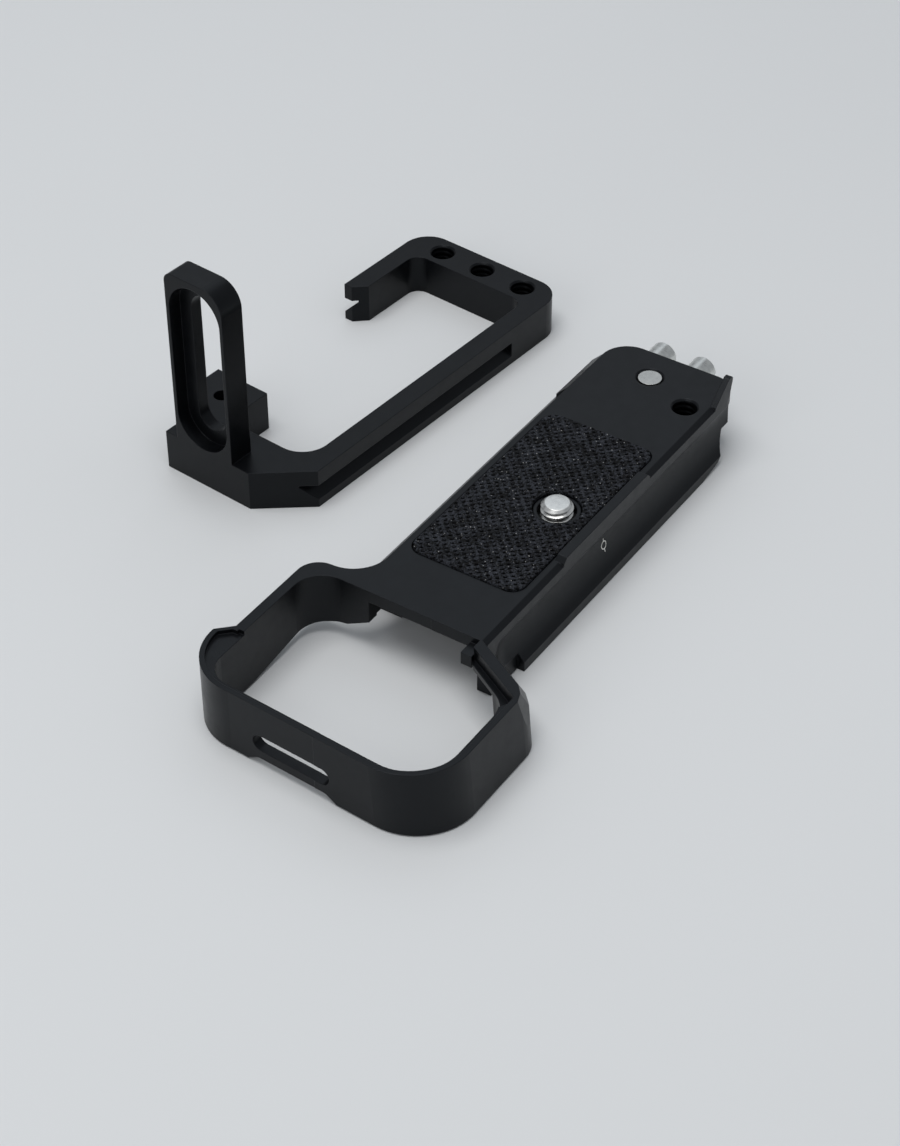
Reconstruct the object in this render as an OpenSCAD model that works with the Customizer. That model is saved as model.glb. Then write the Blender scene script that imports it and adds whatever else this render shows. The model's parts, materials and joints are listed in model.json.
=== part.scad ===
// L-bracket for a compact camera: base plate with grip ring, and a side bracket taken off beside it.
// Origin: camera screw axis at the top of the deck. X runs from the grip ring to the bracket end.
// Plan sizes are measured from a datum close beside the screw, at screw_x and screw_y from its axis.

/* [Camera deck] */
// Height of the deck over the table
deck_h = 14; // [13.5:0.1:16]
// Thickness of the deck
deck_t = 2.6; // [2.2:0.1:3.2]
// Datum to the far end of the plate
far_len = 55; // [54:0.5:62]
// Datum to the grip window
near_len = 37.9; // [37.2:0.1:38.2]
// Datum to the left edge of the deck
deck_left = 19.2; // [19:0.1:21]
// Datum to the right edge of the deck
deck_right = 9; // [8.6:0.1:10]
// Radius of the far left corner
far_left_r = 6; // [4:0.5:7]
// Radius of the far right corner
far_right_r = 5; // [3:0.5:6]
// Width of the bevel along the right edge
bevel_w = 1.2; // [1:0.1:1.3]
// Depth of the bevel along the right edge
bevel_d = 0.5; // [0.2:0.1:0.6]
// Width of the sloping cheek past the left edge
cheek_w = 2.4; // [1.6:0.1:3]
// Datum to the start of the cheek
cheek_start = 35; // [30:0.5:38]

/* [Side walls and dovetail] */
// Thickness of the right wall
right_wall = 3; // [2.8:0.1:3.4]
// Thickness of the left wall
left_wall = 2.5; // [2:0.1:2.6]
// Width over the dovetail flanges
dovetail_w = 38.1; // [37:0.1:39]
// How far the right flange stands out past the deck
flange_out = 1.4; // [1:0.1:2]
// Height of the flanges' upright edges
flange_land = 2.2; // [1.8:0.1:2.6]
// Height of the left flange's sloping face
flange_slope = 2.8; // [2:0.1:3.2]
// Datum to the near end of the flanges
flange_near = 27.5; // [26:0.5:29]
// Datum to the far end of the flanges
flange_far = 45.2; // [43:0.1:46]
// Radius of the hollow in the right wall
cove_r = 9.1; // [8.6:0.1:12]
// Upright edge above the hollow
cove_edge = 0.8; // [0.7:0.1:1.4]
// Datum to the last full section of the hollow
cove_near = 30.5; // [29:0.1:31.5]
// Height of the left wall between the flange and the grip ring
joint_h = 7; // [5:0.1:8]

/* [Stop lip and wing] */
// Thickness of the stop lip
lip_t = 2; // [1.7:0.1:2.3]
// Height of the stop lip over the deck
lip_h = 1; // [0.8:0.1:1.6]
// Near end of the stop lip before the datum
lip_near = 11; // [9:0.5:13]
// Far end of the stop lip past the datum
lip_far = 18.4; // [15:0.1:22]
// Thickness of the wing
wing_t = 1.3; // [1.1:0.1:1.8]
// Height of the wing over the deck
wing_h = 4.2; // [3.4:0.1:5]
// Datum to the near end of the wing
wing_start = 45.2; // [43:0.1:46]
// Datum to the tip of the wing
wing_end = 52; // [51.6:0.1:52.6]

/* [Rubber pad] */
// Length of the pad
pad_len = 50.6; // [46:0.1:52]
// Width of the pad
pad_w = 24.5; // [22:0.1:24.6]
// Thickness of the pad
pad_t = 1.5; // [1.2:0.1:1.7]
// How far the pad stands over the deck
pad_proud = 0.5; // [0.3:0.1:0.7]
// Corner radius of the pad
pad_r = 3; // [2:0.5:5]
// Near end of the pad before the datum
pad_near = 24.2; // [22:0.1:25]
// Gap between the pad and the stop lip
pad_gap = 0.4; // [0.3:0.05:0.6]
// Diameter of the hole in the pad
pad_hole_d = 8.6; // [8.6:0.1:10]

/* [Grip ring] */
// Datum to the middle of the ring's front wall
ring_front = 74.1; // [73:0.1:77]
// How far the front wall runs out from left to right
ring_skew = 2.8; // [1.5:0.1:3.2]
// Left side of the grip ring
ring_left = 31; // [30:0.1:32]
// Right side of the grip ring
ring_right = 21.5; // [20:0.1:23]
// Thickness of the grip ring's wall
ring_wall = 2.1; // [1.9:0.1:2.5]
// Thickness of the wall between the ring and the deck
neck_wall = 2.5; // [2.2:0.1:3]
// Width over the rim and the step of the slanting wall
slant_wall = 3.2; // [2.9:0.1:3.3]
// Datum to the near end of the slanting wall's rim
slant_near = 38.4; // [38.2:0.1:39]
// Datum to the far end of the slanting wall's rim
slant_far = 45.2; // [44.5:0.1:46]
// How far the slanting wall stands out under its rim
shoulder_out = 2.5; // [2:0.1:3]
// Height of the slope from the rim to the slanting wall
shoulder_drop = 4.5; // [3.5:0.1:5.5]
// Lean of the ring's right half
ring_lean = 5.3; // [3:0.1:7]
// Datum to the line where the lean begins
lean_start = 3; // [1:0.5:5]
// How far the leaning half stands out in front
lean_step = 0.05; // [0.03:0.01:0.1]
// Outer radius of the front right corner
front_r = 12; // [10:0.5:14]
// Outer radius of the right corner beside the slanting wall
slant_r = 7; // [6:0.5:8]
// Outer radius of the left corner beside the deck
neck_corner_r = 4.5; // [4:0.1:5.5]
// Radius of the bulged front left corner
bulge_r = 11.4; // [11:0.1:11.8]
// How far the bulge stands out past the left side
bulge_out = 2.9; // [2.2:0.1:3.2]
// Datum to the middle of the bulge
bulge_x = 61.8; // [61.6:0.1:62.4]
// Datum to the end of the bulge
bulge_end = 58.6; // [58:0.1:59.5]
// Radius of the fillet from the deck's left edge to the ring
neck_fillet = 7.5; // [6:0.5:8]
// Inner radius of the window's left corners
window_left_r = 5; // [4:0.5:6]
// Inner radius of the window's front right corner
window_front_r = 9.5; // [8:0.5:11]
// Width of the rim outside the ledge
rim_w = 1; // [0.8:0.1:1.2]
// Depth of the ledge inside the rim
ledge_d = 0.9; // [0.5:0.1:1.4]
// Datum to the end of the ledge on the left
ledge_left = 59; // [58:0.1:60]
// Datum to the end of the ledge on the right
ledge_right = 47; // [46:0.1:49]
// Depth of the pocket in the slanting wall
pocket_d = 2.7; // [2.2:0.1:3.4]
// Width of the rim left beside the pocket
pocket_rim = 2.2; // [1.9:0.1:2.4]
// Width of the tab at the pocket's near end
tab_w = 2; // [1.6:0.1:2.4]
// Radius of the window's corner beside the pocket
pocket_r = 8; // [7:0.5:8.5]
// Height of the ring's lower edge over the table
ring_lift = 0.3; // [0.2:0.1:0.6]
// Rise of the lower edge under the strap slot
slot_rise = 1.4; // [1:0.1:1.6]
// Height of the open arch in the ring's left neck
left_arch_h = 3.4; // [2.8:0.1:4.4]
// Rise of the left wall's lower edge towards the neck
left_rise = 2.2; // [1.4:0.1:3]
// Height of the open arch in the slanting wall
right_arch_h = 10.2; // [9.6:0.1:10.6]

/* [Strap slot] */
// Length of the strap slot
strap_len = 17; // [15:0.1:18]
// Height of the strap slot
strap_h = 3.6; // [3.2:0.1:3.8]
// Middle of the strap slot to the left of the datum
strap_y = 8.2; // [7.6:0.1:9]
// Middle of the strap slot over the table
strap_z = 5.4; // [5.2:0.1:6]

/* [Camera screw] */
// Camera screw past the plate's datum towards the far end
screw_x = 1.1; // [0.8:0.1:1.4]
// Camera screw past the plate's datum towards the left
screw_y = 0.6; // [0.3:0.1:0.9]
// Diameter of the camera screw's thread
thread_d = 6.35; // [6.3:0.01:6.4]
// Diameter of the screw's neck
neck_d = 5; // [4.6:0.1:5]
// Length of the thread
thread_len = 4.2; // [3.8:0.1:4.3]
// How far the screw's tip stands over the deck
tip_over = 1.7; // [1.4:0.1:2]
// Chamfer at the screw's tip
tip_chamfer = 0.8; // [0.5:0.1:1]
// Diameter of the screw's head
head_d = 11.4; // [10:0.1:11.4]
// Thickness of the screw's head
head_t = 3.3; // [2.8:0.1:3.6]
// Length of the screw's neck
neck_len = 7.2; // [6.8:0.1:7.3]
// Across-flats size of the screw's key socket
socket_af = 4; // [3:0.5:5]
// Depth of the key socket
socket_d = 2; // [1.5:0.1:2.4]

/* [Retaining ring] */
// Diameter of the hole that takes the retaining ring
seat_d = 8.6; // [8.4:0.1:8.8]
// Depth of the seat under the deck
seat_depth = 3.8; // [3.7:0.1:4]
// Diameter of the clear hole under the seat
clear_d = 7; // [6.8:0.1:7.4]
// Thickness of the retaining ring
clip_t = 0.9; // [0.7:0.1:0.9]
// Width of the split in the retaining ring
clip_gap = 2.2; // [1.6:0.1:3]
// Diameter of the boss under the deck
boss_d = 13; // [12:0.5:15]
// Height of the boss from the deck's top
boss_h = 4.8; // [4.6:0.1:5]

/* [Lock screw] */
// Lock screw past the camera screw
lock_x = 47.3; // [46.8:0.1:47.6]
// Lock screw to the left of the camera screw
lock_y = 7.2; // [7:0.1:7.4]
// Diameter of the lock screw's shank
lock_d = 4.8; // [4.4:0.1:5]
// Diameter of the lock screw's head
lock_head_d = 11.8; // [10:0.1:11.8]
// Thickness of the lock screw's head
lock_head_t = 2.7; // [2.2:0.1:2.8]
// Height of the lock screw's head over the table
lock_lift = 0.2; // [0.1:0.1:0.4]
// How far the lock screw's tip lies under the deck
lock_under = 0.1; // [0.1:0.1:0.5]
// Countersink round the lock screw's tip
lock_sink_d = 6; // [5.6:0.1:6.4]
// Across-flats size of the lock screw's key socket
lock_socket_af = 3; // [2:0.5:4]
// Depth of the lock screw's key socket
lock_socket_d = 1.8; // [1.2:0.1:2]

/* [Tongue and channel] */
// Width of the tongue
tongue_w = 14.6; // [14.2:0.1:14.8]
// Thickness of the tongue
tongue_t = 5.6; // [5.4:0.1:5.8]
// Reach of the tongue past the frame
tongue_len = 39.2; // [37:0.1:41]
// Radius of the tongue's right end corner
tongue_right_r = 5; // [3:0.5:6]
// Radius of the tongue's left end corner
tongue_left_r = 2; // [1.5:0.5:5]
// Width of the slot through the tongue
slot_w = 7; // [6:0.1:7.4]
// Width of the sunk track for the lock screw's head
track_w = 13; // [12.4:0.1:13]
// Depth of the sunk track
track_d = 3; // [2.9:0.1:3.2]
// Gap from the frame to the track
track_start = 0.3; // [0.2:0.1:1]
// Gap from the track to the tongue's tip
track_end = 1.4; // [1.2:0.1:2.4]
// Room beside the tongue in its channel
tongue_room = 0.2; // [0.1:0.05:0.3]
// Room over the tongue in its channel
roof_room = 0.15; // [0.1:0.05:0.3]
// Length of the tongue's channel
channel_len = 40; // [38:0.5:41]
// Length of the solid block at the far end
block_len = 17; // [16.5:0.5:18]
// Thickness of the rail beside the channel
rail_t = 2.3; // [1.8:0.1:2.6]
// Thickness of the cross rib
rib_t = 2.5; // [2:0.1:3]

/* [Deck hole] */
// Tapped hole past the camera screw
hole_x = 42.4; // [42:0.1:43]
// Tapped hole to the right of the camera screw
hole_y = 3.6; // [3.4:0.1:3.8]
// Depth of the tapped hole
hole_deep = 9; // [7:0.5:10]
// Bore of the tapped holes
tap_d = 5; // [4.9:0.05:5.2]
// Mouth of the tapped holes
mouth_d = 5.7; // [5.5:0.1:6]

/* [Guide pins] */
// Diameter of the guide pins
pin_d = 5.6; // [5:0.1:5.8]
// Length of the guide pins outside the plate
pin_out = 6.5; // [5:0.1:8]
// Length of the guide pins inside the plate
pin_in = 4.4; // [3.6:0.1:4.5]
// Spacing of the guide pins
pin_gap = 9.2; // [8.6:0.1:9.6]
// Middle of the guide pins to the left of the camera screw
pin_y = 6.6; // [6.2:0.1:7]
// Guide pin axis under the deck
pin_under = 3.8; // [3.6:0.1:4]
// Radius of the guide pins' domed ends
pin_dome_r = 4.2; // [3.2:0.1:6]

/* [Side bracket] */
// Height of the side bracket in use
frame_len = 88.8; // [84:0.1:92]
// Width of the side bracket
frame_w = 38.3; // [38:0.1:39]
// Thickness of the frame
frame_t = 8.8; // [8.4:0.1:9.4]
// Width of the long arm
long_arm = 4.3; // [4.2:0.1:5.2]
// Width of the arm with the tapped holes
hole_arm = 8.5; // [8:0.1:9.5]
// Width of the short arm
short_arm = 4.6; // [4.4:0.1:5.4]
// Height of the foot beside the tongue
foot_h = 10.5; // [10:0.1:11.5]
// Height of the stub beside the foot
stub_h = 22; // [20:0.5:24]
// Width of the stub
stub_w = 13.4; // [12.5:0.1:13.8]
// Open gap between the stub and the short arm
cable_gap = 39.7; // [37:0.1:42]
// Bracket's middle to the foot's right corner
foot_right = 9; // [7.5:0.1:11]
// Bracket's middle to the foot's left corner
foot_left = 13; // [11:0.1:15]
// Length of the straight side at the foot's left corner
foot_step = 4; // [3:0.5:5]
// Length of the foot's slanting corners
foot_slant = 9; // [7:0.1:9.6]
// Radius of the outer corners
frame_r = 6; // [4:0.5:8]
// Radius of the inner corners
window_r = 3; // [2:0.5:5]
// Chamfer at the end of the short arm
arm_chamfer = 2.6; // [1.5:0.1:3]
// Depth of the clamp groove
groove_d = 3; // [2.4:0.1:3.1]
// Upright edge under the clamp groove
groove_land = 1.9; // [1.6:0.1:2.2]
// Flat height at the back of the clamp groove
groove_back = 0.4; // [0.2:0.1:0.8]
// End of the clamp groove before the top
groove_stop = 18; // [16:0.5:20]
// Spacing of the three tapped holes
tap_gap = 10.9; // [10.2:0.1:11.4]
// Middle tapped hole to the right of the bracket's middle
tap_shift = 0.4; // [0:0.1:1]
// Diameter of the stub's hole
stub_hole_d = 3.5; // [3:0.1:4]
// Stub's hole over the bracket's lower end
stub_hole_x = 15.8; // [15:0.1:17]
// Stub's hole to the left of the bracket's middle
stub_hole_y = 12.4; // [12:0.1:13]
// Tongue to the left of the bracket's middle
tongue_shift = 2.6; // [2:0.05:2.8]
// Place of the bracket along the plate
bracket_x = -16.2; // [-20:0.1:-12]
// Place of the bracket to the left of the plate
bracket_y = 68.8; // [66:0.1:75]
// Turn of the bracket on the table
bracket_turn = -5.3; // [-7:0.1:-3]

/* [Clearances] */
// Radial running gap of the lock screw
run_gap = 0.05; // [0.03:0.01:0.09]
// Radial gap of the parts set into the plate
set_gap = 0.02; // [0.02:0.01:0.05]
// Radial gap of the camera screw's neck in its ring
neck_gap = 0.3; // [0.3:0.05:0.35]

/* [Hidden] */
$fn = 64;
cut = 1;
slip = 0.0005;
black = "#2a2b30";
rubber = "#1c1c1e";
steel = "#c9cbcc";
floor_z = -deck_h;
wall_in = right_wall - deck_right;
flange_right = deck_right + flange_out;
flange_left = dovetail_w - flange_right;
flange_top = floor_z + flange_land + flange_slope;
cove_low = [-flange_right, floor_z + flange_land];
cove_high = [-deck_right, -cove_edge];
cove_mid = (cove_low + cove_high) / 2;
cove_chord = cove_high - cove_low;
cove_axis = cove_mid + [-cove_chord[1], cove_chord[0]] / norm(cove_chord)
    * sqrt(cove_r * cove_r - cove_chord * cove_chord / 4);
roof_z = floor_z + tongue_t + roof_room;
channel_right = lock_y - tongue_w / 2 - tongue_room;
channel_left = lock_y + tongue_w / 2 + tongue_room;
channel_near = far_len - channel_len;
block_near = far_len - block_len;
pad_right = lip_t + pad_gap - deck_right;
neck_x = neck_wall - near_len;
ring_z = floor_z + ring_lift;
front_dir = unit([-ring_skew, -ring_left - ring_right]);
front_turn = atan2(front_dir[1], front_dir[0]) + 90;
slant_dir = unit([slant_near - slant_far, deck_right - ring_right]);
slant_in = [slant_dir[1], -slant_dir[0]];
slant_rim = [-slant_near, -deck_right];
slant_tip = [-slant_far, -ring_right];
slant_foot = slant_rim - slant_in * shoulder_out;
slant_end = slant_foot + slant_dir * (ring_right + slant_foot[1]) / -slant_dir[1];
pocket_near = slant_rim + slant_in * slant_wall;
pocket_far = slant_tip + slant_in * slant_wall;
seat_floor = -seat_depth;
clip_r = seat_d / 2 - set_gap;
frame_half = frame_w / 2;
arm_end = stub_h + cable_gap;
groove_top = groove_land + groove_d + groove_back;
tongue_top = frame_t + tongue_len;

// Directions and touching points of a rounded corner
function unit(v) = v / norm(v);
function half_angle(a, p, b) = acos(unit(a - p) * unit(b - p)) / 2;
function bisector(a, p, b) = unit(unit(a - p) + unit(b - p));
function arc_centre(a, p, b, r) = p + bisector(a, p, b) * r / sin(half_angle(a, p, b));
function arc_touch(a, p, b, r) = p + unit(a - p) * r / tan(half_angle(a, p, b));
function turns_left(a, p, b) = cross(p - a, b - p) > 0;
function at(c, i) = let(k = c[(i + len(c)) % len(c)]) [k[0], k[1]];
function is_arc(c, i) = c[i][2] > 0 && turns_left(at(c, i - 1), at(c, i), at(c, i + 1));
function is_fillet(c, i) = c[i][2] > 0 && !turns_left(at(c, i - 1), at(c, i), at(c, i + 1));

// Outline through [x, y, radius] corners, counter-clockwise, with true arcs
module rounded_outline(c) {
    last = len(c) - 1;
    difference() {
        polygon([for (k = c) [k[0], k[1]]]);
        for (i = [0 : last])
            if (is_arc(c, i))
                corner_piece(at(c, i - 1), at(c, i), at(c, i + 1), c[i][2]);
    }
    for (i = [0 : last])
        if (is_fillet(c, i))
            corner_piece(at(c, i - 1), at(c, i), at(c, i + 1), c[i][2]);
}

// Area between the two sides of a corner and its arc
module corner_piece(a, p, b, r) {
    difference() {
        polygon([arc_touch(b, p, a, r), p - bisector(a, p, b) * cut, arc_touch(a, p, b, r)]);
        translate(arc_centre(a, p, b, r)) circle(r + slip);
    }
}

// Extrusions of a YZ profile along X, of an XZ profile along Y and of an XY profile along Z
module along_x(x0, x1) {
    translate([x0, 0, 0]) rotate([90, 0, 90]) linear_extrude(x1 - x0) children();
}

module along_y(y0, y1) {
    translate([0, y1, 0]) rotate([90, 0, 0]) linear_extrude(y1 - y0) children();
}

module along_z(z0, z1) {
    translate([0, 0, z0]) linear_extrude(z1 - z0) children();
}

module block(lo, hi) {
    translate(lo) cube(hi - lo);
}

// Round slot between two centres in a plane
module capsule(a, b, d) {
    translate(a) circle(d / 2 + slip);
    translate(b) circle(d / 2 + slip);
    side = unit([a[1] - b[1], b[0] - a[0]]) * d / 2;
    polygon([a - side, b - side, b + side, a + side]);
}

// Tapped hole with a widened mouth, opening upwards at the origin
module tapped_hole(depth) {
    translate([0, 0, -depth]) cylinder(d = tap_d, h = depth + cut);
    mouth = (mouth_d - tap_d) / 2;
    translate([0, 0, -mouth]) cylinder(d1 = tap_d, d2 = mouth_d, h = mouth);
}

// The datum's frame, moved so that the camera screw stands at the origin
module placed() {
    translate([-screw_x, -screw_y, 0]) children();
}

module at_screw() {
    translate([screw_x, screw_y, 0]) children();
}

module deck_outline() {
    rounded_outline([[-near_len, -deck_right, 0], [far_len, -deck_right, far_right_r],
        [far_len, deck_left, far_left_r], [-near_len, deck_left, 0]]);
}

module deck() {
    difference() {
        along_z(-deck_t, 0) deck_outline();
        along_x(-near_len - cut, far_len + cut)
            polygon([[bevel_w - deck_right, 0], [bevel_w - deck_right, cut], [-deck_right - bevel_w, cut],
                [-deck_right - bevel_w, -2 * bevel_d]]);
    }
}

// Hollow along the right wall with a ball-shaped near end
module cove() {
    translate([-cove_near, cove_axis[0], cove_axis[1]]) {
        rotate([0, 90, 0]) cylinder(r = cove_r, h = cove_near + far_len + cut);
        sphere(cove_r);
    }
}

// Space past the rounded lower corner at the wall's far end
module far_corner() {
    along_y(-flange_right - cut, channel_right + cut)
        polygon([[flange_far - 6, floor_z], [flange_far, floor_z + 1.2], [far_len - far_right_r, roof_z],
            [far_len + cut, roof_z], [far_len + cut, floor_z - cut], [flange_far - 6, floor_z - cut]]);
}

// Right wall, tongue rails, rib and solid end
module underside() {
    difference() {
        union() {
            along_x(-flange_near, far_len - far_right_r)
                polygon([[wall_in, -bevel_d], [-deck_right, -bevel_d], cove_high, cove_low,
                    [-flange_right, floor_z], [wall_in, floor_z]]);
            block([neck_x - 1.2, -deck_right, ring_z], [cut - flange_near, wall_in, -bevel_d]);
            intersection() {
                channel();
                along_z(floor_z - cut, cut) deck_outline();
            }
        }
        cove();
        far_corner();
    }
}

module channel() {
    low = -deck_t / 2;
    block([block_near, wall_in - cut, floor_z], [far_len, channel_right, low]);
    block([block_near, -deck_right, roof_z], [far_len, deck_left, low]);
    block([channel_near, channel_left, floor_z], [far_len, deck_left - left_wall + cut, low]);
    block([channel_near, channel_right - rail_t, floor_z], [block_near + cut, channel_right, low]);
    block([channel_near - rib_t - cut, wall_in - cut, floor_z + ring_lift],
        [channel_near - cut, deck_left - left_wall + cut, low]);
}

module left_side() {
    low = -deck_t / 2;
    block([-flange_near, deck_left - left_wall, floor_z], [far_len - far_left_r, deck_left, low]);
    block([-near_len, deck_left - left_wall, -joint_h], [cut - flange_near, deck_left, low]);
    along_x(-flange_near, flange_far)
        polygon([[deck_left - cut, floor_z], [flange_left, floor_z],
            [flange_left, floor_z + flange_land], [flange_left - flange_slope, flange_top],
            [deck_left - cut, flange_top]]);
    along_x(cheek_start, far_len - far_left_r)
        polygon([[deck_left - cut, 0], [deck_left - cut, flange_top], [deck_left + cheek_w, flange_top],
            [deck_left + cheek_w, -cheek_w], [deck_left, 0]]);
}

module stop_lip() {
    along_y(-deck_right, lip_t - deck_right)
        polygon([[-lip_near - lip_h, 0], [-lip_near - lip_h, -cove_edge], [lip_far + lip_h, -cove_edge],
            [lip_far + lip_h, 0], [lip_far, lip_h], [-lip_near, lip_h]]);
}

module wing() {
    along_y(-deck_right, wing_t - deck_right)
        rounded_outline([[wing_start, -cove_edge, 0], [wing_end - 1.2, -cove_edge, 0],
            [wing_end, wing_h, 0.8], [wing_end - 1.7, wing_h, 0.8], [wing_start, 0, 0]]);
}

// Outer face of the ring's front wall at a given y
function front_x(y) = (y - (ring_left - ring_right) / 2) * ring_skew / (ring_left + ring_right) - ring_front;

// Corners of the grip ring, drawn in by a margin
function ring_corners(m) = [
    concat(slant_foot - slant_dir * 3 + slant_in * m, 0), [neck_x - m, 0, 0],
    [neck_x - m, ring_left - m, neck_corner_r - m],
    [front_x(ring_left - m) + m, ring_left - m, bulge_r - 2 - m],
    [front_x(m - ring_right) + m, m - ring_right, front_r - m],
    concat(slant_end + slant_dir * m / slant_dir[1] + slant_in * m / 2, slant_r - m)];

// Corners of the window through the grip ring
function window_corners() = [
    [-near_len, pocket_near[1], 0], [-near_len, ring_left - ring_wall, window_left_r + 1],
    [front_x(ring_left - ring_wall) + ring_wall, ring_left - ring_wall, window_left_r],
    [front_x(ring_wall - ring_right) + ring_wall, ring_wall - ring_right, window_front_r],
    [pocket_far[0], ring_wall - ring_right, pocket_r], concat(pocket_near, 1.5)];

// Corner list turned square to the front wall, with its length along that wall scaled
function squared(c, k) = [for (v = c) let(p = [v[0], v[1]]) [cross(front_dir, p), -k * (p * front_dir), v[2]]];

// Bulged front left corner with a slanting end
module bulge(m) {
    intersection() {
        translate([-bulge_x, ring_left + bulge_out - bulge_r]) circle(bulge_r - m);
        polygon([[-bulge_end - m, 0], [-bulge_end - m, ring_left], [-bulge_end - m - 9, ring_left + 9],
            [-ring_front - 9, ring_left + 9], [-ring_front - 9, 0]]);
    }
}

// Upright left half and leaning right half of an outline that is square to the front wall
module left_half(z0, z1) {
    intersection() {
        rotate([0, 0, front_turn]) along_z(z0, z1) children();
        block([-ring_front - 20, lean_start, z0 - cut], [0, ring_left + 20, z1 + cut]);
    }
}

module right_half(z0, z1) {
    intersection() {
        rotate([0, 0, front_turn]) translate([-lean_step, 0, 0]) rotate([-ring_lean, 0, 0])
            along_z(z0 - 20, z1 + 20) children();
        block([-ring_front - 20, -ring_right - 20, z0], [0, lean_start, z1]);
    }
}

module ring_body() {
    left_half(ring_z, 0) {
        rounded_outline(squared(ring_corners(0), 1));
        rotate(-front_turn) bulge(0);
    }
    right_half(ring_z, 0) rounded_outline(squared(ring_corners(0), cos(ring_lean)));
    along_z(-joint_h, 0) corner_piece([neck_x, ring_left], [neck_x, deck_left], [0, deck_left], neck_fillet);
}

// Plan area of the sunk ledge
module ledge_zone() {
    polygon([[-ledge_left, ring_left + 20], [-ring_front - 20, ring_left + 20],
        [-ring_front - 20, -ring_right - 20], [-ledge_right, -ring_right - 20],
        [-ledge_right, 0], [-ledge_left, 0]]);
}

module ring_cuts() {
    left_half(floor_z - cut, cut) rounded_outline(squared(window_corners(), 1));
    right_half(floor_z - cut, cut) rounded_outline(squared(window_corners(), cos(ring_lean)));
    along_z(-ledge_d, cut) intersection() {
        union() {
            rounded_outline(ring_corners(rim_w));
            bulge(rim_w);
        }
        ledge_zone();
    }
    pocket();
    shoulder();
    strap_slot();
    arches();
}

// Step in the slanting wall
module pocket() {
    along_z(-pocket_d, cut)
        polygon([slant_rim + slant_in * pocket_rim - slant_dir * 3, slant_tip + slant_in * pocket_rim,
            slant_tip + slant_in * (slant_wall + 2), slant_rim + slant_in * (slant_wall + 2) - slant_dir]);
}

// Tab between the pocket and the deck's edge
module pocket_tab() {
    block([pocket_near[0], pocket_near[1] - 0.3, floor_z + right_arch_h - 0.2],
        [neck_x - 2, pocket_near[1] + tab_w, -pocket_d / 2]);
}

// Slopes from the rim down to the slanting wall and round its corner
module shoulder() {
    r = slant_r - cut;
    middle = arc_centre(slant_rim, slant_tip, slant_tip - [r, 0], r);
    first = atan2(slant_in[1], slant_in[0]) + 180;
    for (k = [0 : 2]) {
        turn = first + (270 - first) * k / 3;
        slope(middle + r * [cos(turn), sin(turn)], turn, shoulder_out * (1 - k / 3));
    }
}

// Sloping cut that starts at a rim point and faces a given way
module slope(rim, turn, w) {
    translate([rim[0], rim[1], 0]) rotate([0, 0, turn])
        along_y(-20, 20)
            polygon([[0, 0], [0, cut], [2 * w, cut], [2 * w, -2 * shoulder_drop]]);
}

module strap_slot() {
    reach = (strap_len - strap_h) / 2;
    slot_z = floor_z + strap_z;
    along_x(-ring_front - 10, 10 - ring_front)
        capsule([strap_y - reach, slot_z], [strap_y + reach, slot_z], strap_h);
    half = strap_len / 2;
    along_x(-ring_front - 10, 10 - ring_front)
        rounded_outline([[strap_y - half - 1.5, floor_z - cut, 0], [strap_y + half + 1.5, floor_z - cut, 0],
            [strap_y + half + 1.5, ring_z, 1], [strap_y + half - 1, ring_z + slot_rise, 1.5],
            [strap_y - half + 1, ring_z + slot_rise, 1.5], [strap_y - half - 1.5, ring_z, 1]]);
}

// Open arches and rising lower edges of the walls that join the ring to the deck
module arches() {
    along_x(-near_len - 2, neck_x + cut)
        polygon([[deck_left - left_wall - cut, floor_z - cut], [ring_left - 3, floor_z - cut],
            [ring_left - 3, ring_z + left_rise], [deck_left + 2.5, ring_z + left_arch_h],
            [deck_left - left_wall - cut, -joint_h]]);
    along_y(deck_left, ring_left + bulge_out + cut)
        polygon([[-bulge_x - 5, floor_z - cut], [neck_x + cut, floor_z - cut],
            [neck_x + cut, ring_z + left_rise + 1], [-near_len - 4, ring_z + left_rise]]);
    along_x(-slant_far, -flange_near - cut)
        rounded_outline([[-deck_right - 7.5, floor_z - cut, 0], [wall_in, floor_z - cut, 0],
            [wall_in, floor_z + right_arch_h, 0], [-deck_right - 7.5, floor_z + right_arch_h, 2.5]]);
}

module pad_outline(m) {
    rounded_outline([[-pad_near - m, pad_right - m, pad_r], [pad_len - pad_near + m, pad_right - m, pad_r],
        [pad_len - pad_near + m, pad_right + pad_w + m, pad_r], [-pad_near - m, pad_right + pad_w + m, pad_r]]);
}

module deck_bores() {
    along_z(pad_proud - pad_t, cut) pad_outline(set_gap);
    at_screw() {
        translate([0, 0, seat_floor]) cylinder(d = seat_d, h = seat_depth + cut);
        translate([0, 0, -boss_h - cut]) cylinder(d = clear_d, h = boss_h + cut);
    }
    translate([lock_x, lock_y, roof_z - cut]) cylinder(r = lock_d / 2 + run_gap, h = cut - roof_z + cut);
    sink = lock_sink_d / 2 - lock_d / 2 - run_gap;
    translate([lock_x, lock_y, -sink]) cylinder(d1 = lock_d + 2 * run_gap, d2 = lock_sink_d, h = sink);
    translate([hole_x, -hole_y, 0]) tapped_hole(hole_deep);
    for (side = [-1, 1])
        translate([far_len - pin_in - 0.2, pin_y + side * pin_gap / 2, -pin_under])
            rotate([0, 90, 0]) cylinder(r = pin_d / 2 + set_gap, h = pin_in + 0.2 + cut);
}

module base_plate() {
    color(black) placed() difference() {
        union() {
            deck();
            underside();
            left_side();
            stop_lip();
            wing();
            pocket_tab();
            at_screw() translate([0, 0, -boss_h]) cylinder(d = boss_d, h = boss_h - deck_t / 2);
            difference() {
                ring_body();
                ring_cuts();
                block([-near_len - cut, wall_in, floor_z - cut],
                    [neck_x + cut, deck_left - left_wall, -deck_t]);
            }
        }
        deck_bores();
    }
}

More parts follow.
